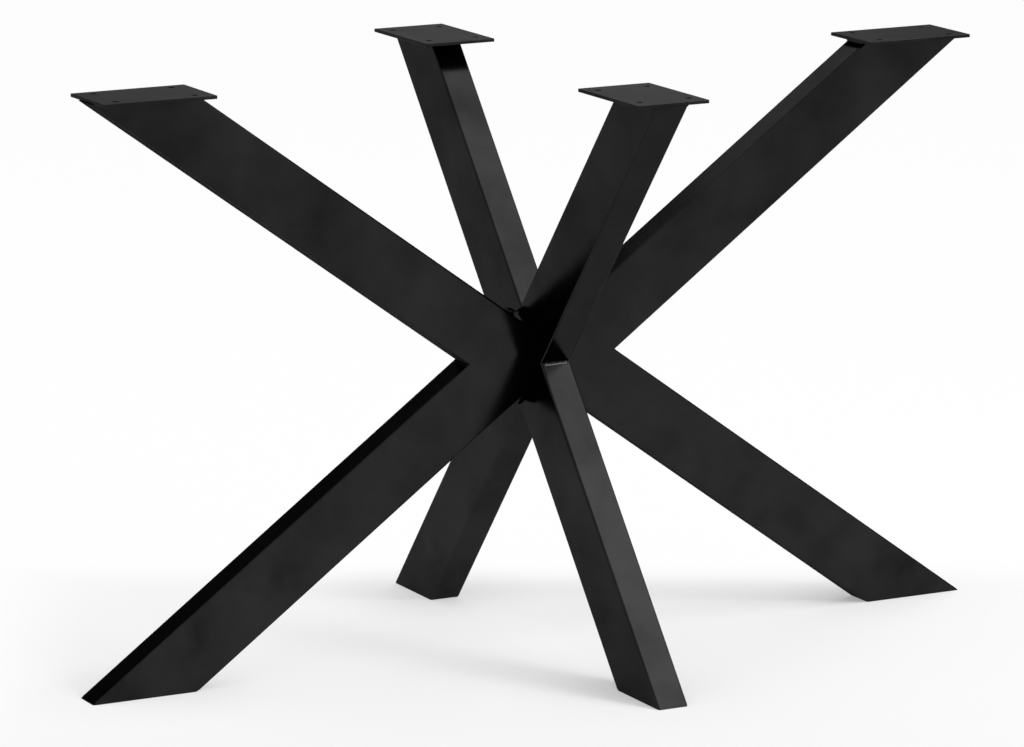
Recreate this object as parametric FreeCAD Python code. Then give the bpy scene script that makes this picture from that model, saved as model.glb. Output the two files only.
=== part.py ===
import FreeCAD, Part
import math
import os

from FreeCAD import Placement, Rotation, Vector

# Table base of rectangular steel tube: a long frame and a short frame cross at right angles.
# X runs along the long frame, left to right. Y runs along the short frame, front to back.
# Z is up, and the origin is on the floor under the crossing. All sizes are in millimetres.

# Overall sizes
overall_height = 720.0
long_foot_span = 1200.0  # outer edge of the left foot to outer edge of the right foot
short_foot_span = 700.0  # the same from front foot to back foot
crossing_height = 362.0  # where the legs' centre lines cross

# The long frame is two V pieces: each one's centre lines meet this far outside the middle
vee_offset = 32.0

# Rectangular steel tube
tube_depth = 80.0  # wide side, in the plane of its frame
tube_width = 40.0  # narrow side, across its frame
tube_wall = 2.0
tube_corner_radius = 2.5  # outside corner

# Mounting plates on top of the legs
plate_length = 145.0
plate_width = 95.0
plate_thickness = 4.0
plate_corner_radius = 1.0
long_plate_setback = 2.5  # the plate's outer end stops this far inside the leg's outer edge
short_plate_setback = 0.5

# Screw holes in the mounting plates
screw_hole_radius = 3.5
screw_end_margin = 22.5  # hole centre to the plate's short side
screw_side_margin = 15.0  # hole centre to the plate's long side

# Thin plates that close the tube ends on the floor
foot_plate_thickness = 2.0

# Weld beads, by the width of their open face
plate_weld_face = 4.0
joint_weld_face = 12.0
long_notch_weld_face = 2.5
short_notch_weld_face = 5.0

# Directions
along_x = Vector(1, 0, 0)
along_y = Vector(0, 1, 0)
up = Vector(0, 0, 1)


def lean(run):
    """Angle from the floor of a leg whose centre line drops from the crossing and whose foot ends at run."""
    return math.atan2(crossing_height, run) + math.asin(tube_depth / 2 / math.hypot(crossing_height, run))


# Worked out from the sizes above
crossing = Vector(0, 0, crossing_height)
plate_underside = overall_height - plate_thickness
long_lean = lean(long_foot_span / 2 - vee_offset)
short_lean = lean(short_foot_span / 2)
tube_inner_radius = tube_corner_radius - tube_wall
flat_width = tube_width - 2 * tube_corner_radius  # flat part of a tube's narrow side
reach = 2 * (long_foot_span + short_foot_span + overall_height)  # larger than the whole base


def leg_direction(along, side, rise, angle):
    """Unit vector out along a leg: side is -1 or 1 along its frame, rise is 1 upwards or -1 downwards."""
    return along * (side * math.cos(angle)) + up * (rise * math.sin(angle))


def bar(centre, direction, across, depth, width, radius):
    """Straight bar of rounded rectangular section, longer than any leg, with its middle at centre."""
    solid = Part.makeBox(reach, width, depth, Vector(-reach / 2, -width / 2, -depth / 2))
    long_edges = [edge for edge in solid.Edges if edge.Length > reach / 2]
    solid = solid.makeFillet(radius, long_edges)
    solid.Placement = Placement(centre, Rotation(direction, across, direction.cross(across), "XYZ"))
    return solid


def tube_outside(centre, direction, across):
    """The tube as if it were solid."""
    return bar(centre, direction, across, tube_depth, tube_width, tube_corner_radius)


def tube(centre, direction, across):
    """The hollow tube."""
    inner_depth = tube_depth - 2 * tube_wall
    inner_width = tube_width - 2 * tube_wall
    hollow = bar(centre, direction, across, inner_depth, inner_width, tube_inner_radius)
    return tube_outside(centre, direction, across).cut(hollow)


def layer(low, high):
    """Everything between two heights."""
    return Part.makeBox(reach, reach, high - low, Vector(-reach / 2, -reach / 2, low))


def half_heights(rise):
    """The heights of an upper half tube (1) or a lower one (-1)."""
    if rise > 0:
        return layer(crossing_height, plate_underside)
    return layer(foot_plate_thickness, crossing_height)


def beside_short_frame(side):
    """Everything outside the short frame's left side (-1) or right side (1)."""
    near = tube_width / 2 if side > 0 else -tube_width / 2 - reach
    return Part.makeBox(reach, reach, reach, Vector(near, -reach / 2, 0))


def vee_apex(side):
    """Where the centre lines of one V piece of the long frame meet."""
    return Vector(side * vee_offset, 0, crossing_height)


def vee_tube(side, rise):
    """Half tube of the long frame: mitred level at the crossing, cut upright against the short frame."""
    straight = tube(vee_apex(side), leg_direction(along_x, side, rise, long_lean), along_y)
    return straight.common(half_heights(rise)).common(beside_short_frame(side))


def short_frame_line(side):
    """Direction of the short frame's straight leg pair that rises towards the front (-1) or the back (1)."""
    return leg_direction(along_y, side, 1, short_lean)


def through_tube():
    """The short frame's one-piece leg pair, from the front foot up to the back plate."""
    heights = layer(foot_plate_thickness, plate_underside)
    return tube(crossing, short_frame_line(1), along_x).common(heights)


def half_tube(rise):
    """Half of the short frame's other leg pair, coped to the through tube's outside."""
    straight = tube(crossing, short_frame_line(-1), along_x).common(half_heights(rise))
    return straight.cut(tube_outside(crossing, short_frame_line(1), along_x))


def foot_plate(centre, direction, across):
    """Thin plate that closes a cut tube end on the floor, ground flush with the tube's sides."""
    return tube_outside(centre, direction, across).common(layer(0, foot_plate_thickness))


def leg_top_edges(offset, angle):
    """Inner and outer edge of a leg where it meets its plate, measured from the middle of the base."""
    middle = offset + (plate_underside - crossing_height) / math.tan(angle)
    half_cut = tube_depth / 2 / math.sin(angle)
    return middle - half_cut, middle + half_cut


def mounting_plate(along, side, offset, angle, setback):
    """Flat plate on a leg's top, with four screw holes."""
    corner = Vector(-plate_length / 2, -plate_width / 2, 0)
    plate = Part.makeBox(plate_length, plate_width, plate_thickness, corner)
    upright_edges = [edge for edge in plate.Edges if abs(edge.tangentAt(edge.FirstParameter).z) > 0.5]
    plate = plate.makeFillet(plate_corner_radius, upright_edges)
    for end in (-1, 1):
        for flank in (-1, 1):
            hole_along = end * (plate_length / 2 - screw_end_margin)
            hole_across = flank * (plate_width / 2 - screw_side_margin)
            hole = Part.makeCylinder(screw_hole_radius, plate_thickness, Vector(hole_along, hole_across, 0))
            plate = plate.cut(hole)
    outer_edge = leg_top_edges(offset, angle)[1]
    middle = along * (side * (outer_edge - setback - plate_length / 2)) + up * plate_underside
    plate.Placement = Placement(middle, Rotation(along, up.cross(along), up, "XYZ"))
    return plate


def bead(corner, face_a, face_b, run, open_face):
    """Fillet weld: a three-sided bead in the corner between two faces, carried along run."""
    leg = open_face / (face_a - face_b).Length
    outline = Part.makePolygon([corner, corner + face_a * leg, corner + face_b * leg, corner])
    return Part.Face(outline).extrude(run)


def plate_welds(along, across, side, offset, angle):
    """Beads under a mounting plate: one on each wide side of the leg and one on its inner narrow side."""
    inner_edge, outer_edge = leg_top_edges(offset, angle)
    corner_cut = tube_corner_radius / math.sin(angle)
    run = along * (side * (outer_edge - inner_edge - 2 * corner_cut))
    beads = []
    for flank in (-1, 1):
        start = along * (side * (inner_edge + corner_cut)) + up * plate_underside
        start += across * (flank * tube_width / 2)
        beads.append(bead(start, across * flank, -up, run, plate_weld_face))
    start = along * (side * inner_edge) - across * (flat_width / 2) + up * plate_underside
    down_the_leg = -leg_direction(along, side, 1, angle)
    beads.append(bead(start, -along * side, down_the_leg, across * flat_width, plate_weld_face))
    return beads


def joint_welds(side):
    """Thick beads above and below the end of a V piece, where it meets the short frame's side."""
    wall = along_x * (side * tube_width / 2)
    half_height = tube_depth / 2 / math.cos(long_lean) - (vee_offset - tube_width / 2) * math.tan(long_lean)
    beads = []
    for rise in (-1, 1):
        start = wall - along_y * (flat_width / 2) + up * (crossing_height + rise * half_height)
        outwards = leg_direction(along_x, side, rise, long_lean)
        beads.append(bead(start, up * rise, outwards, along_y * flat_width, joint_weld_face))
    return beads


def side_notch_weld(along, across, side, offset, angle, open_face):
    """Bead in the notch that opens sideways between an upper and a lower leg."""
    notch = offset + tube_depth / 2 / math.sin(angle)
    start = along * (side * notch) - across * (flat_width / 2) + crossing
    above = leg_direction(along, side, 1, angle)
    below = leg_direction(along, side, -1, angle)
    return bead(start, above, below, across * flat_width, open_face)


def upright_notch_weld(rise):
    """Bead in the notch that opens upwards (1) or downwards (-1) between the short frame's legs."""
    notch = rise * tube_depth / 2 / math.cos(short_lean)
    start = crossing + up * notch - along_x * (flat_width / 2)
    to_front = leg_direction(along_y, -1, rise, short_lean)
    to_back = leg_direction(along_y, 1, rise, short_lean)
    return bead(start, to_front, to_back, along_x * flat_width, short_notch_weld_face)


def build():
    """Every piece of the base by name; a list is a group of separate beads."""
    pieces = {}
    pieces["short_frame_through_tube"] = through_tube()
    pieces["short_frame_front_half_tube"] = half_tube(1)
    pieces["short_frame_back_half_tube"] = half_tube(-1)

    # Long frame, with its plates, feet and welds
    for name, side in (("left", -1), ("right", 1)):
        downwards = leg_direction(along_x, side, -1, long_lean)
        plate = mounting_plate(along_x, side, vee_offset, long_lean, long_plate_setback)
        pieces[f"long_frame_{name}_upper_tube"] = vee_tube(side, 1)
        pieces[f"long_frame_{name}_lower_tube"] = vee_tube(side, -1)
        pieces[f"foot_plate_{name}"] = foot_plate(vee_apex(side), downwards, along_y)
        pieces[f"mounting_plate_{name}"] = plate
        pieces[f"plate_welds_{name}"] = plate_welds(along_x, along_y, side, vee_offset, long_lean)
        pieces[f"joint_welds_{name}"] = joint_welds(side)
        notch_weld = side_notch_weld(along_x, along_y, side, vee_offset, long_lean, long_notch_weld_face)
        pieces[f"notch_weld_{name}"] = notch_weld

    # Short frame's plates, feet and welds
    for name, side in (("front", -1), ("back", 1)):
        downwards = leg_direction(along_y, side, -1, short_lean)
        plate = mounting_plate(along_y, side, 0, short_lean, short_plate_setback)
        pieces[f"foot_plate_{name}"] = foot_plate(crossing, downwards, along_x)
        pieces[f"mounting_plate_{name}"] = plate
        pieces[f"plate_welds_{name}"] = plate_welds(along_y, along_x, side, 0, short_lean)
        notch_weld = side_notch_weld(along_y, along_x, side, 0, short_lean, short_notch_weld_face)
        pieces[f"notch_weld_{name}"] = notch_weld
    pieces["notch_weld_top"] = upright_notch_weld(1)
    pieces["notch_weld_bottom"] = upright_notch_weld(-1)
    return pieces


os.makedirs("parts", exist_ok=True)
for node, shape in build().items():
    if isinstance(shape, list):
        shape = Part.makeCompound(shape)
    shape.exportStep(f"parts/{node}.step")
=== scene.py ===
import math
import random

import bmesh
import bpy
from mathutils import Matrix, Vector


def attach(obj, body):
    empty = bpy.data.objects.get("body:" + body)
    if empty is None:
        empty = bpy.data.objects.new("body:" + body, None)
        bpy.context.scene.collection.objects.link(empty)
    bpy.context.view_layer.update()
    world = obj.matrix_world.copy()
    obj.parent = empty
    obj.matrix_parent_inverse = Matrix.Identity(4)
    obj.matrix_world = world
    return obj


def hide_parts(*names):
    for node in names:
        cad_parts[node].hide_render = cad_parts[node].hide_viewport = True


# Table base of rectangular steel tube with a black powder coat. All sizes are in metres.
# X runs along the long frame, Y along the short frame from front to back, and Z is up.

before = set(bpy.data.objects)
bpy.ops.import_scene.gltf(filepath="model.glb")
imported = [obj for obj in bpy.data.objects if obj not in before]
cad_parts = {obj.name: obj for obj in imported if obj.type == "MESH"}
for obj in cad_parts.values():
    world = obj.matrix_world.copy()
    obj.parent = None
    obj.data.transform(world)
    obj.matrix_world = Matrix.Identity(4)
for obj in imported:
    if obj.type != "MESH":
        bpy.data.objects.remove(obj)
bpy.context.view_layer.update()

up = Vector((0, 0, 1))
along_x = Vector((1, 0, 0))
along_y = Vector((0, 1, 0))

# The base's sizes, as the solids have them
overall_height = 0.720
long_foot_span = 1.200
short_foot_span = 0.700
crossing_height = 0.362
vee_offset = 0.032
tube_depth = 0.080
tube_width = 0.040
tube_corner_radius = 0.0025
plate_length = 0.145
plate_width = 0.095
plate_thickness = 0.004
plate_corner_radius = 0.001
long_plate_setback = 0.0025
short_plate_setback = 0.0005
screw_hole_radius = 0.0035
screw_end_margin = 0.0225
screw_side_margin = 0.015
foot_plate_thickness = 0.002

# How the sheet metal is finished
plate_edge_rounding = 0.0004
foot_plate_edge_rounding = 0.0003
foot_plate_inset = 0.0004  # leaves a fine seam under each tube end
corner_steps = 6  # flats in a rounded corner
edge_steps = 3  # flats in a rounded edge
hole_steps = 40  # flats round a screw hole

# Weld beads, by the width of their open face
plate_weld_face = 0.004
joint_weld_face = 0.012
long_notch_weld_face = 0.0025
short_notch_weld_face = 0.005
bead_overrun = 0.002  # how far a thick bead runs on over the tube's rounded corners
bead_sink = 0.00012  # how far a bead is melted into the faces beside it

# How a bead lies: its reach on the first face, on the second, and its bulge, as shares of its plain leg
even_bead = (1.0, 1.0, 0.16)
sagging_bead = (0.3, 1.7, 0.16)  # has run down onto the lower leg
spread_bead = (0.85, 1.6, 0.45)  # a thick lump that has spread out along the leg

# A bead's skin
bead_step = 0.0005
bead_columns = 7
ripple_pitch = 0.0021
ripple_height = 0.00022
ripple_lag = 0.0011  # how far a ripple's middle lies behind its ends
wave_count = 6  # waves that make a bead's two edges uneven
shortest_wave, longest_wave = 0.009, 0.03
wave_height = 0.035  # as a share of the bead's plain leg
blunt_end = 0.06  # share of its width that a bead keeps at its very ends
weld_sharp_angle = 50  # degrees; a fold sharper than this isn't smoothed


def lean(run):
    """Angle from the floor of a leg whose centre line drops from the crossing and whose foot ends at run."""
    return math.atan2(crossing_height, run) + math.asin(tube_depth / 2 / math.hypot(crossing_height, run))


def leg_direction(along, side, rise, angle):
    """Unit vector out along a leg: side is -1 or 1 along its frame, rise is 1 upwards or -1 downwards."""
    return along * (side * math.cos(angle)) + up * (rise * math.sin(angle))


def compass(angle, elevation):
    """Unit vector towards a compass angle, from the back (+Y) towards the right (+X), and an elevation."""
    turn, rise = math.radians(angle), math.radians(elevation)
    return Vector((math.sin(turn) * math.cos(rise), math.cos(turn) * math.cos(rise), math.sin(rise)))


crossing = up * crossing_height
plate_underside = overall_height - plate_thickness
long_lean = lean(long_foot_span / 2 - vee_offset)
short_lean = lean(short_foot_span / 2)
flat_width = tube_width - 2 * tube_corner_radius

# Each leg end: its frame's direction, the direction across it, side, offset, lean and the plate's setback
leg_ends = {
    "left": (along_x, along_y, -1, vee_offset, long_lean, long_plate_setback),
    "right": (along_x, along_y, 1, vee_offset, long_lean, long_plate_setback),
    "front": (along_y, along_x, -1, 0, short_lean, short_plate_setback),
    "back": (along_y, along_x, 1, 0, short_lean, short_plate_setback),
}


def leg_top_edges(offset, angle):
    """Inner and outer edge of a leg where it meets its plate, measured from the middle of the base."""
    middle = offset + (plate_underside - crossing_height) / math.tan(angle)
    half_cut = tube_depth / 2 / math.sin(angle)
    return middle - half_cut, middle + half_cut


def foot_middle(along, side, offset, angle):
    """Middle of a leg's cut end on the floor."""
    return along * (side * (offset + crossing_height / math.tan(angle)))


# Material makers

def new_material(name):
    """An empty node material, with its node tree and its output node."""
    material = bpy.data.materials.new(name)
    material.use_nodes = True
    material.node_tree.nodes.clear()
    output = material.node_tree.nodes.new("ShaderNodeOutputMaterial")
    return material, material.node_tree, output


def noise(tree, place, size, detail, roughness=0.5):
    """A noise whose largest patches are about size metres across."""
    node = tree.nodes.new("ShaderNodeTexNoise")
    node.inputs["Scale"].default_value = 1 / size
    node.inputs["Detail"].default_value = detail
    node.inputs["Roughness"].default_value = roughness
    tree.links.new(place, node.inputs["Vector"])
    return node.outputs["Fac"]


def feed(tree, value, socket):
    """Gives a socket its value, which is a number, a colour or another node's socket."""
    if isinstance(value, bpy.types.NodeSocket):
        tree.links.new(value, socket)
    else:
        socket.default_value = value


def spread(tree, value, low, high):
    """Stretches a 0 to 1 value to low to high; low and high are numbers or sockets."""
    node = tree.nodes.new("ShaderNodeMapRange")
    tree.links.new(value, node.inputs["Value"])
    feed(tree, low, node.inputs["To Min"])
    feed(tree, high, node.inputs["To Max"])
    return node.outputs["Result"]


def ramp(tree, value, start, end, low, high):
    """A smooth step from low to high while value goes from start to end."""
    node = tree.nodes.new("ShaderNodeMapRange")
    node.interpolation_type = "SMOOTHSTEP"
    tree.links.new(value, node.inputs["Value"])
    for name, number in (("From Min", start), ("From Max", end), ("To Min", low), ("To Max", high)):
        node.inputs[name].default_value = number
    return node.outputs["Result"]


def blend(tree, kind, share, first, second):
    """First where share is 0, second where it is 1. Its kind is FLOAT for values and RGBA for colours."""
    node = tree.nodes.new("ShaderNodeMix")
    node.data_type = kind
    tree.links.new(share, node.inputs["Factor"])
    feed(tree, first, node.inputs["A"])
    feed(tree, second, node.inputs["B"])
    return node.outputs["Result"]


def maths(tree, operation, first, second):
    """One sum of two values, which are numbers or sockets."""
    node = tree.nodes.new("ShaderNodeMath")
    node.operation = operation
    feed(tree, first, node.inputs[0])
    feed(tree, second, node.inputs[1])
    return node.outputs["Value"]


def along_compass(tree, vector, angle):
    """How far a vector reaches towards a compass angle."""
    node = tree.nodes.new("ShaderNodeVectorMath")
    node.operation = "DOT_PRODUCT"
    node.inputs[1].default_value = compass(angle, 0)
    tree.links.new(vector, node.inputs[0])
    return node.outputs["Value"]


# The coat's marks, by the size of their largest patches
cloud_size = 0.11
smudge_size = 0.07
haze_size = 0.03
peel_size = 0.0035
grain_size = 0.0007
# Clouds and smudges run past 0 and 1, so that some places show none of the tint and some all of it
cloud_stretch = (-1.0, 2.0)
smudge_stretch = (-0.7, 1.7)
dust_top = 0.6  # height below which fine dust begins to show on the coat


def make_powder_coat_group():
    """Baked powder coat: cloudy tone, uneven gloss, and the fine orange peel of the melted powder."""
    group = bpy.data.node_groups.new("powder_coat_surface", "ShaderNodeTree")
    sockets = (
        ("Place", "NodeSocketVector", None),
        ("Coat Colour", "NodeSocketColor", (0.0133, 0.0133, 0.0133, 1)),
        ("Cloud Tint", "NodeSocketColor", (0.0237, 0.0237, 0.0240, 1)),
        ("Dust Tint", "NodeSocketColor", (0.0280, 0.0280, 0.0278, 1)),
        ("Gloss Low", "NodeSocketFloat", 0.14),
        ("Gloss High", "NodeSocketFloat", 0.21),
        ("Peel Depth", "NodeSocketFloat", 0.7),
        ("Grain Depth", "NodeSocketFloat", 0.3),
    )
    for name, kind, value in sockets:
        socket = group.interface.new_socket(name, in_out="INPUT", socket_type=kind)
        if value is not None:
            socket.default_value = value
    group.interface.new_socket("Colour", in_out="OUTPUT", socket_type="NodeSocketColor")
    group.interface.new_socket("Roughness", in_out="OUTPUT", socket_type="NodeSocketFloat")
    group.interface.new_socket("Height", in_out="OUTPUT", socket_type="NodeSocketFloat")
    inside = group.nodes.new("NodeGroupInput")
    outside = group.nodes.new("NodeGroupOutput")
    place = inside.outputs["Place"]

    clouds = spread(group, noise(group, place, cloud_size, 4, 0.55), *cloud_stretch)
    cloudy = blend(group, "RGBA", clouds, inside.outputs["Coat Colour"], inside.outputs["Cloud Tint"])
    level = group.nodes.new("ShaderNodeSeparateXYZ")
    group.links.new(place, level.inputs[0])
    lowness = ramp(group, level.outputs["Z"], dust_top, 0, 0, 1)
    smudges = spread(group, noise(group, place, smudge_size, 4, 0.6), *smudge_stretch)
    dust = maths(group, "MULTIPLY", lowness, smudges)
    dusty = blend(group, "RGBA", dust, cloudy, inside.outputs["Dust Tint"])
    group.links.new(dusty, outside.inputs["Colour"])

    haze = noise(group, place, haze_size, 4, 0.6)
    gloss = spread(group, haze, inside.outputs["Gloss Low"], inside.outputs["Gloss High"])
    group.links.new(gloss, outside.inputs["Roughness"])

    peel = noise(group, place, peel_size, 2, 0.4)
    grain = noise(group, place, grain_size, 2, 0.5)
    peel_height = maths(group, "MULTIPLY", peel, inside.outputs["Peel Depth"])
    grain_height = maths(group, "MULTIPLY", grain, inside.outputs["Grain Depth"])
    group.links.new(maths(group, "ADD", peel_height, grain_height), outside.inputs["Height"])
    return group


powder_coat_surface = make_powder_coat_group()

coat_edge_tint = (0.52, 0.52, 0.52, 1)  # keeps the coat's grazing shine low
# Seen nearly edge-on, the peel hides its own shine. From 0, face-on, to 1, edge-on: where that starts,
# where it ends, and how much is then added to the coat's roughness
coat_haze = (0.80, 0.90, 0.83)
plate_haze = (0.70, 0.95, 0.25)
coat_relief = 0.00004  # metres that one unit of the surface's height stands for


def powder_coat(name, edge_haze=coat_haze, **values):
    """A black powder coat. It is so deep that only its gloss shows, so it shades as a very dark metal."""
    material, tree, output = new_material(name)
    coordinates = tree.nodes.new("ShaderNodeTexCoord")
    surface = tree.nodes.new("ShaderNodeGroup")
    surface.node_tree = powder_coat_surface
    for socket, value in values.items():
        surface.inputs[socket.replace("_", " ")].default_value = value
    shader = tree.nodes.new("ShaderNodeBsdfPrincipled")
    shader.inputs["Metallic"].default_value = 1
    shader.inputs["Specular Tint"].default_value = coat_edge_tint
    relief = tree.nodes.new("ShaderNodeBump")
    relief.inputs["Distance"].default_value = coat_relief
    tree.links.new(coordinates.outputs["Object"], surface.inputs["Place"])
    tree.links.new(surface.outputs["Colour"], shader.inputs["Base Color"])
    edge_on = tree.nodes.new("ShaderNodeLayerWeight")
    haze_start, haze_end, roughest = edge_haze
    haze = ramp(tree, edge_on.outputs["Facing"], haze_start, haze_end, 0, roughest)
    tree.links.new(maths(tree, "ADD", surface.outputs["Roughness"], haze), shader.inputs["Roughness"])
    tree.links.new(surface.outputs["Height"], relief.inputs["Height"])
    tree.links.new(relief.outputs["Normal"], shader.inputs["Normal"])
    tree.links.new(shader.outputs["BSDF"], output.inputs["Surface"])
    return material


tube_coat = powder_coat("tube_coat")
plate_coat = powder_coat("plate_coat", edge_haze=plate_haze, Gloss_Low=0.15, Gloss_High=0.22)
foot_plate_coat = powder_coat("foot_plate_coat", Gloss_Low=0.16, Gloss_High=0.24)
weld_coat = powder_coat("weld_coat", Gloss_Low=0.13, Gloss_High=0.19, Peel_Depth=0.4)


def dress(piece, slot, material, *nodes):
    """Gives a new piece its finish, lets it ride on the base, and makes it stand for its nodes."""
    piece.data.materials.append(material)
    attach(piece, "root")
    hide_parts(*nodes)


def new_piece(name, bm):
    """Turns a finished bmesh into an object of that name."""
    mesh = bpy.data.meshes.new(name)
    bm.to_mesh(mesh)
    bm.free()
    for polygon in mesh.polygons:
        polygon.use_smooth = True
    piece = bpy.data.objects.new(name, mesh)
    bpy.context.scene.collection.objects.link(piece)
    return piece


# Sheet metal pieces

def rounded_outline(length, width, radius):
    """Outline of a rounded rectangle, as places and outward directions."""
    outline = []
    for quarter, (u, v) in enumerate(((1, 1), (-1, 1), (-1, -1), (1, -1))):
        middle = Vector((u * (length / 2 - radius), v * (width / 2 - radius)))
        for step in range(corner_steps + 1):
            turn = math.radians(90) * (quarter + step / corner_steps)
            outward = Vector((math.cos(turn), math.sin(turn)))
            outline.append((middle + outward * radius, outward))
    return outline


def hole_outline(u, v, radius):
    """Outline of a round hole; its outward directions point into the hole."""
    outline = []
    for step in range(hole_steps):
        turn = 2 * math.pi * step / hole_steps
        spoke = Vector((math.cos(turn), math.sin(turn)))
        outline.append((Vector((u, v)) + spoke * radius, -spoke))
    return outline


def sheet_metal(name, outlines, thickness, rounding, place):
    """A flat piece with rounded edges and holes. The first outline is its rim, the others are its holes."""
    bm = bmesh.new()
    turned = place.to_3x3().inverted().transposed()
    normals = []
    tilts = [math.radians(90) * (1 - step / edge_steps) for step in range(edge_steps + 1)]
    levels = [(tilt, thickness - rounding * (1 - math.sin(tilt))) for tilt in tilts]
    levels += [(-tilt, rounding * (1 - math.sin(tilt))) for tilt in reversed(tilts)]
    top_edges, bottom_edges = [], []
    for outline in outlines:
        rings = []
        for tilt, height in levels:
            ring = []
            for point, outward in outline:
                flat = point - outward * (rounding * (1 - math.cos(tilt)))
                ring.append(bm.verts.new(place @ Vector((flat.x, flat.y, height))))
                normal = Vector((outward.x * math.cos(tilt), outward.y * math.cos(tilt), math.sin(tilt)))
                normals.append((turned @ normal).normalized())
            rings.append(ring)
        for upper, lower in zip(rings, rings[1:]):
            for index in range(len(upper)):
                after = (index + 1) % len(upper)
                bm.faces.new((upper[index], upper[after], lower[after], lower[index]))
        for edges, ring in ((top_edges, rings[0]), (bottom_edges, rings[-1])):
            for index in range(len(ring)):
                edges.append(bm.edges.get((ring[index], ring[(index + 1) % len(ring)])))
    bmesh.ops.triangle_fill(bm, use_beauty=True, edges=top_edges)
    bmesh.ops.triangle_fill(bm, use_beauty=True, edges=bottom_edges)
    bmesh.ops.recalc_face_normals(bm, faces=bm.faces)
    piece = new_piece(name, bm)
    piece.data.normals_split_custom_set_from_vertices(normals)
    return piece


def make_mounting_plate(name, along, side, offset, angle, setback):
    """The flat plate that a table top is screwed to."""
    outlines = [rounded_outline(plate_length, plate_width, plate_corner_radius)]
    for end in (-1, 1):
        for flank in (-1, 1):
            u = end * (plate_length / 2 - screw_end_margin)
            v = flank * (plate_width / 2 - screw_side_margin)
            outlines.append(hole_outline(u, v, screw_hole_radius))
    outer_edge = leg_top_edges(offset, angle)[1]
    middle = along * (side * (outer_edge - setback - plate_length / 2)) + up * plate_underside
    place = Matrix((along, up.cross(along), up)).transposed().to_4x4()
    place.translation = middle
    piece = sheet_metal(f"plate_{name}", outlines, plate_thickness, plate_edge_rounding, place)
    dress(piece, "plate_coat", plate_coat, f"mounting_plate_{name}")


def make_foot_plate(name, along, across, side, offset, angle):
    """The thin plate that closes a tube end on the floor; its sides lean with the leg."""
    outline = []
    length, width = tube_depth - 2 * foot_plate_inset, tube_width - 2 * foot_plate_inset
    for point, outward in rounded_outline(length, width, tube_corner_radius - foot_plate_inset):
        stretched = Vector((point.x / math.sin(angle), point.y))
        outline.append((stretched, Vector((outward.x * math.sin(angle), outward.y)).normalized()))
    run = up - along * (side / math.tan(angle))
    place = Matrix((along, across, run)).transposed().to_4x4()
    place.translation = foot_middle(along, side, offset, angle)
    piece = sheet_metal(f"foot_cap_{name}", [outline], foot_plate_thickness, foot_plate_edge_rounding, place)
    dress(piece, "foot_plate_coat", foot_plate_coat, f"foot_plate_{name}")


# Welds

def add_bead(bm, chance, corner, face_a, face_b, run, open_face, overrun=0.0, lie=even_bead):
    """One bead of weld in the corner between two faces, with its ripples, laid along run."""
    way = run.normalized()
    length = run.length + 2 * overrun
    start = corner - way * overrun
    outward = (face_a + face_b).normalized()
    leg = open_face / (face_a - face_b).length
    reach_a, reach_b, bulge = lie
    waves = []
    for wave in range(wave_count):
        wave_length = chance.uniform(shortest_wave, longest_wave)
        shift = chance.random()
        face = chance.choice((0, 1))
        waves.append((wave_length, shift, face))
    first_ripple = chance.random()
    stations = math.ceil(length / bead_step)
    rings = []
    for station in range(stations + 1):
        gone = length * station / stations
        to_end = min(gone, length - gone) / (open_face / 2)
        closing = math.sqrt(1 - (1 - min(to_end, 1)) ** 2)
        legs = [reach_a, reach_b]
        for wave_length, shift, face in waves:
            legs[face] += wave_height * math.sin(2 * math.pi * (gone / wave_length + shift))
        legs = [leg * share * max(closing, blunt_end) for share in legs]
        middle = start + way * gone - outward * bead_sink
        ring = [bm.verts.new(middle)]
        for column in range(bead_columns + 1):
            share = column / bead_columns
            arch = 4 * share * (1 - share)
            beat = (gone + ripple_lag * arch) / ripple_pitch + first_ripple
            lift = bulge * leg * arch * closing
            lift += ripple_height * abs(math.sin(math.pi * beat)) * math.sqrt(arch) * closing
            point = middle + face_a * (legs[0] * (1 - share)) + face_b * (legs[1] * share)
            ring.append(bm.verts.new(point + outward * lift))
        rings.append(ring)
    for before, after in zip(rings, rings[1:]):
        for index in range(len(before)):
            beside = (index + 1) % len(before)
            bm.faces.new((before[index], before[beside], after[beside], after[index]))
    bm.faces.new(rings[0])
    bm.faces.new(list(reversed(rings[-1])))


def weld_piece(name, beads, node):
    """All beads of one weld as one piece; each bead holds what add_bead asks for."""
    chance = random.Random(name)
    bm = bmesh.new()
    for bead in beads:
        add_bead(bm, chance, *bead)
    bmesh.ops.recalc_face_normals(bm, faces=bm.faces)
    piece = new_piece(name, bm)
    piece.data.set_sharp_from_angle(angle=math.radians(weld_sharp_angle))
    dress(piece, "weld_coat", weld_coat, node)


def plate_beads(along, across, side, offset, angle):
    """Beads under a mounting plate, on the leg's two wide sides and its inner narrow side."""
    inner_edge, outer_edge = leg_top_edges(offset, angle)
    corner_cut = tube_corner_radius / math.sin(angle)
    run = along * (side * (outer_edge - inner_edge - 2 * corner_cut))
    beads = []
    for flank in (-1, 1):
        start = along * (side * (inner_edge + corner_cut)) + up * plate_underside
        start += across * (flank * tube_width / 2)
        beads.append((start, across * flank, -up, run, plate_weld_face))
    start = along * (side * inner_edge) - across * (flat_width / 2) + up * plate_underside
    down_the_leg = -leg_direction(along, side, 1, angle)
    beads.append((start, -along * side, down_the_leg, across * flat_width, plate_weld_face))
    return beads


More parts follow.
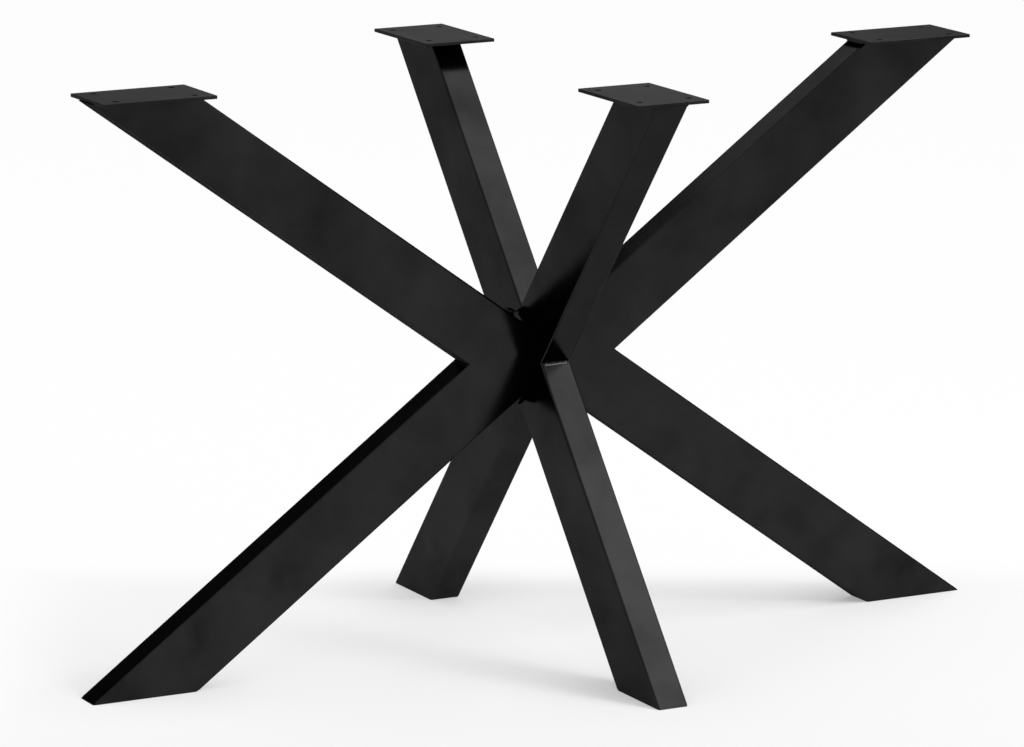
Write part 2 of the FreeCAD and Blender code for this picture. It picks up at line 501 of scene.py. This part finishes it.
def joint_beads(side):
    """Thick beads above and below the end of a V piece, where it meets the short frame's side."""
    wall = along_x * (side * tube_width / 2)
    half_height = tube_depth / 2 / math.cos(long_lean) - (vee_offset - tube_width / 2) * math.tan(long_lean)
    beads = []
    for rise in (-1, 1):
        start = wall - along_y * (flat_width / 2) + up * (crossing_height + rise * half_height)
        outwards = leg_direction(along_x, side, rise, long_lean)
        run = along_y * flat_width
        beads.append((start, up * rise, outwards, run, joint_weld_face, bead_overrun, spread_bead))
    return beads


def side_notch_bead(along, across, side, offset, angle, open_face):
    """Bead in the notch that opens sideways between an upper and a lower leg."""
    notch = offset + tube_depth / 2 / math.sin(angle)
    start = along * (side * notch) - across * (flat_width / 2) + crossing
    above = leg_direction(along, side, 1, angle)
    below = leg_direction(along, side, -1, angle)
    return (start, above, below, across * flat_width, open_face, 0.0, sagging_bead)


def upright_notch_bead(rise):
    """Bead in the notch that opens upwards or downwards between the short frame's legs."""
    notch = rise * tube_depth / 2 / math.cos(short_lean)
    start = crossing + up * notch - along_x * (flat_width / 2)
    to_front = leg_direction(along_y, -1, rise, short_lean)
    to_back = leg_direction(along_y, 1, rise, short_lean)
    return (start, to_front, to_back, along_x * flat_width, short_notch_weld_face)


# Open face of the bead in each end's side notch
notch_weld_faces = {
    "left": long_notch_weld_face,
    "right": long_notch_weld_face,
    "front": short_notch_weld_face,
    "back": short_notch_weld_face,
}

# The base

for node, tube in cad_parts.items():
    if node.endswith("_tube"):
        for slot in tube.material_slots:
            slot.material = tube_coat

for end, (along, across, side, offset, angle, setback) in leg_ends.items():
    make_mounting_plate(end, along, side, offset, angle, setback)
    make_foot_plate(end, along, across, side, offset, angle)
    weld_piece(f"plate_beads_{end}", plate_beads(along, across, side, offset, angle), f"plate_welds_{end}")
    notch_bead = side_notch_bead(along, across, side, offset, angle, notch_weld_faces[end])
    weld_piece(f"notch_bead_{end}", [notch_bead], f"notch_weld_{end}")
for end, side in (("left", -1), ("right", 1)):
    weld_piece(f"joint_beads_{end}", joint_beads(side), f"joint_welds_{end}")
for end, rise in (("top", 1), ("bottom", -1)):
    weld_piece(f"notch_bead_{end}", [upright_notch_bead(rise)], f"notch_weld_{end}")

# Floor

floor_radius = 60.0
floor_sides = 96
paper_tones = ((0.865, 0.865, 0.865, 1), (0.90, 0.90, 0.90, 1))
fibre_size = 0.004
# Share of painted white glow in the floor that is seen: the weak share on the front right, where more of the
# lamps' shade shows, the strong share on the back left, where it paints light over floor that the lamps leave
# dimmer, and far away
weak_glow_share, strong_glow_share, far_share = 0.28, 0.82, 0.97
strong_glow_angle = 325  # compass angle of the pale side
glow_ramp_reach = 0.9  # how far from the middle each side has its full share
# Two sides where the floor turns to plain white: compass angle, and the distances where that starts and ends
white_floor_sides = ((27.5, 0.25, 0.42), (300, 0.54, 0.74))
# The same for the rest of the floor, by the distance from the middle of the base
white_floor_start, white_floor_end = 0.9, 1.8
# Close to a foot the glow is weaker, so the floor is painted darker there, a painted contact shadow that also
# shows in the feet's
# reflections: two distances from the foot's middle, and what the share is multiplied by up to the nearer one
foot_shade_start, foot_shade_end, foot_shade = 0.05, 0.18, 0.75


def make_floor_paper():
    """White studio paper under a painted white glow that the camera and reflections see. The glow is painted
    light, stronger on the back left and weaker round the feet.
    """
    material, tree, output = new_material("floor_paper")
    coordinates = tree.nodes.new("ShaderNodeTexCoord")
    place = coordinates.outputs["Object"]
    paper = tree.nodes.new("ShaderNodeBsdfDiffuse")
    fibres = noise(tree, place, fibre_size, 4, 0.6)
    tree.links.new(blend(tree, "RGBA", fibres, *paper_tones), paper.inputs["Color"])
    white = tree.nodes.new("ShaderNodeEmission")

    # Painted light: the glow grows from the front right to the back left, evening out the lamps' fall-off
    # across the floor
    towards_strong_glow = along_compass(tree, place, strong_glow_angle)
    side_glow_share = ramp(tree, towards_strong_glow, -glow_ramp_reach, glow_ramp_reach, weak_glow_share, strong_glow_share)
    distance = tree.nodes.new("ShaderNodeVectorMath")
    distance.operation = "LENGTH"
    tree.links.new(place, distance.inputs[0])
    far_away = ramp(tree, distance.outputs["Value"], white_floor_start, white_floor_end, 0, 1)
    for angle, start, end in white_floor_sides:
        far_aside = ramp(tree, along_compass(tree, place, angle), start, end, 0, 1)
        far_away = maths(tree, "MAXIMUM", far_away, far_aside)
    fade = blend(tree, "FLOAT", far_away, side_glow_share, far_share)
    # Painted shade: the glow is weaker round each foot, so the floor is darker there
    for along, across, side, offset, angle, setback in leg_ends.values():
        foot_distance = tree.nodes.new("ShaderNodeVectorMath")
        foot_distance.operation = "DISTANCE"
        foot_distance.inputs[1].default_value = foot_middle(along, side, offset, angle)
        tree.links.new(place, foot_distance.inputs[0])
        shade = ramp(tree, foot_distance.outputs["Value"], foot_shade_start, foot_shade_end, foot_shade, 1)
        fade = maths(tree, "MULTIPLY", fade, shade)

    # Only the camera, reflections and rays through glass see the painted glow
    path = tree.nodes.new("ShaderNodeLightPath")
    seen = maths(tree, "MAXIMUM", path.outputs["Is Camera Ray"], path.outputs["Is Glossy Ray"])
    seen = maths(tree, "MAXIMUM", seen, path.outputs["Is Transmission Ray"])
    share = maths(tree, "MULTIPLY", seen, fade)
    floor_shader = tree.nodes.new("ShaderNodeMixShader")
    tree.links.new(share, floor_shader.inputs[0])
    tree.links.new(paper.outputs[0], floor_shader.inputs[1])
    tree.links.new(white.outputs[0], floor_shader.inputs[2])
    tree.links.new(floor_shader.outputs[0], output.inputs["Surface"])
    return material


def make_floor():
    """A wide round sheet of paper, far larger than the view."""
    bm = bmesh.new()
    bmesh.ops.create_circle(bm, cap_ends=True, segments=floor_sides, radius=floor_radius)
    floor = new_piece("studio_floor", bm)
    floor.data.materials.append(make_floor_paper())


make_floor()

# Studio light. Compass angles are measured from the back (+Y) towards the right (+X).

lamps = {
    # name: (compass angle, elevation, distance, width, height, radiance)
    "high_softbox": (128, 55.5, 2.6, 2.0, 1.7, 1.5),
    "low_softbox": (143.5, 26.5, 9.0, 2.2, 2.2, 17.0),
}
base_middle = Vector((0, 0, 0.36))  # the softboxes' distances are taken from here
watts_per_radiance = 4  # for each square metre of a lamp

# A wide softbox above, from its back edge to its front edge, and a brighter square panel just under it
ceiling_height = 2.4
ceiling_back, ceiling_front, ceiling_side = 3.0, -2.8, 2.5
ceiling_radiance = 0.52
back_panel_middle = Vector((0.5, 2.4, 2.39))
back_panel_side = 1.2
back_panel_radiance = 1.05

# The room round the floor: how bright its dim back, its pale walls in front and its dark upper part are
back_wall, front_wall, dark_top = 0.08, 0.9, 0.1
front_wall_angle = 200  # compass angle of the middle of the pale walls
# How far a direction faces the pale walls, -1 to 1, where the dim back ends and where they are fully pale
back_wall_end, front_wall_start = -0.2, 0.4
wall_top_start, wall_top_end = 32, 44  # elevations between which the walls turn dark
horizon_start, horizon_end = 4, 6  # elevations between which the white at the horizon ends

# An upright sheet of pale paper at the back, in degrees round the base
back_paper_angle, back_paper_half_width, back_paper_edge = 27.5, 3.7, 2.4
back_paper_start = -0.4  # how far a direction faces the pale walls where the sheet has its full glow
back_paper_glow = 0.40


def sine(angle):
    """Sine of an angle in degrees."""
    return math.sin(math.radians(angle))


def add_lamp(name, location, towards, width, height, radiance):
    """A rectangular softbox that shines back along towards."""
    light = bpy.data.lights.new(name, "AREA")
    light.shape = "RECTANGLE"
    light.size = width
    light.size_y = height
    light.energy = radiance * width * height * watts_per_radiance
    lamp = bpy.data.objects.new(name, light)
    lamp.location = location
    lamp.rotation_euler = towards.to_track_quat("Z", "Y").to_euler()
    lamp.visible_camera = False
    bpy.context.scene.collection.objects.link(lamp)


for name, (angle, elevation, distance, width, height, radiance) in lamps.items():
    towards = compass(angle, elevation)
    add_lamp(name, base_middle + towards * distance, towards, width, height, radiance)
ceiling_middle = Vector((0, (ceiling_back + ceiling_front) / 2, ceiling_height))
ceiling_depth = ceiling_back - ceiling_front
add_lamp("ceiling_softbox", ceiling_middle, up, 2 * ceiling_side, ceiling_depth, ceiling_radiance)
add_lamp("back_panel", back_panel_middle, up, back_panel_side, back_panel_side, back_panel_radiance)


def make_room():
    """Pale walls in front, a dim back with one pale sheet, a dark top, and a white band at the horizon."""
    world = bpy.data.worlds.new("studio_room")
    world.use_nodes = True
    tree = world.node_tree
    tree.nodes.clear()
    coordinates = tree.nodes.new("ShaderNodeTexCoord")
    direction = coordinates.outputs["Generated"]
    split = tree.nodes.new("ShaderNodeSeparateXYZ")
    tree.links.new(direction, split.inputs[0])
    height = split.outputs["Z"]

    facing = along_compass(tree, direction, front_wall_angle)
    walls = ramp(tree, facing, back_wall_end, front_wall_start, back_wall, front_wall)
    aside = maths(tree, "ABSOLUTE", along_compass(tree, direction, back_paper_angle + 90), 0)
    inner = sine(back_paper_half_width - back_paper_edge / 2)
    outer = sine(back_paper_half_width + back_paper_edge / 2)
    paper = ramp(tree, aside, inner, outer, back_paper_glow, 0)
    behind = ramp(tree, facing, back_wall_end, back_paper_start, 0, 1)
    walls = maths(tree, "ADD", walls, maths(tree, "MULTIPLY", paper, behind))
    above = ramp(tree, height, sine(wall_top_start), sine(wall_top_end), 0, 1)
    room = blend(tree, "FLOAT", above, walls, dark_top)
    band = ramp(tree, height, sine(horizon_start), sine(horizon_end), 1, 0)
    seen = blend(tree, "FLOAT", band, room, 1.0)
    background = tree.nodes.new("ShaderNodeBackground")
    tree.links.new(seen, background.inputs["Color"])
    output = tree.nodes.new("ShaderNodeOutputWorld")
    tree.links.new(background.outputs[0], output.inputs["Surface"])
    bpy.context.scene.world = world


make_room()

# Camera

picture_width = 1024  # pixels
focal_pixels = 5643.5
sensor_width = 36.0  # millimetres
# How the view is turned to the right, dropped and rolled, in degrees
view_turn = 27.495
view_drop = 11.919
view_roll = -0.081
view_distance = 6.8739
view_point = Vector((-0.02506, 0.01304, 0.33767))  # lies in the middle of the picture
view_reach = 200  # well past the floor's far edge


def make_camera():
    """The photograph's view: from the front left, a little above."""
    turn, drop, roll = (math.radians(angle) for angle in (view_turn, view_drop, view_roll))
    level = Vector((math.cos(turn), -math.sin(turn), 0))
    ahead = Vector((math.sin(turn), math.cos(turn), 0)) * math.cos(drop) - up * math.sin(drop)
    upright = level.cross(ahead)
    right = level * math.cos(roll) + upright * math.sin(roll)
    top = upright * math.cos(roll) - level * math.sin(roll)
    lens = bpy.data.cameras.new("camera")
    lens.sensor_width = sensor_width
    lens.lens = focal_pixels * sensor_width / picture_width
    lens.clip_end = view_reach
    camera = bpy.data.objects.new("camera", lens)
    placement = Matrix((right, top, -ahead)).transposed().to_4x4()
    placement.translation = view_point - ahead * view_distance
    camera.matrix_world = placement
    bpy.context.scene.collection.objects.link(camera)
    bpy.context.scene.camera = camera


make_camera()
bpy.context.scene.view_settings.view_transform = "Standard"

bpy.context.view_layer.update()
